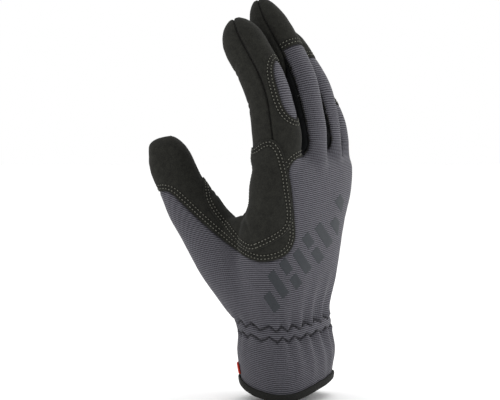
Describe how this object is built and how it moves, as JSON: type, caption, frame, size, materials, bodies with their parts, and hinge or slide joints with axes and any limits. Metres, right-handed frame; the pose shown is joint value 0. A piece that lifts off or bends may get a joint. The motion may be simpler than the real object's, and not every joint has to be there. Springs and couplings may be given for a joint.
{
  "type": "mechanic glove",
  "caption": "Right-hand mechanic's work glove in its worn form: ribbed fabric back, dark synthetic suede palm, thumb and fingertips, elastic wrist, bound hem.",
  "frame": {"origin": "middle of the wrist opening, level with the lowest point of the hem", "axes": "+Z from the wrist opening up to the fingertips, -Y out of the back of the hand, +Y out of the palm, -X to the thumb side"},
  "size_m": [0.1021, 0.1013, 0.2453],
  "materials": {
    "suede": "fine matt suede nap",
    "ribbed_fabric": "fine ribbed knit",
    "stretch_strips": "matt stretch fabric",
    "binding_tape": "woven tape",
    "tab": "woven tape"
  },
  "bodies": {
    "root": {"index_middle_strip": "stretch_strips", "middle_ring_strip": "stretch_strips", "ring_little_strip": "stretch_strips", "index_back_inset": "ribbed_fabric", "middle_back": "ribbed_fabric", "ring_back": "ribbed_fabric", "little_back": "ribbed_fabric", "index_suede": "suede", "middle_suede": "suede", "ring_suede": "suede", "little_suede": "suede", "thumb_back": "ribbed_fabric", "thumb_suede": "suede", "cuff": "ribbed_fabric", "palm": "suede", "hand_back": "ribbed_fabric", "crotch_patch": "suede", "red_tab": "tab", "hem_binding": "binding_tape"}
  },
  "joints": []
}
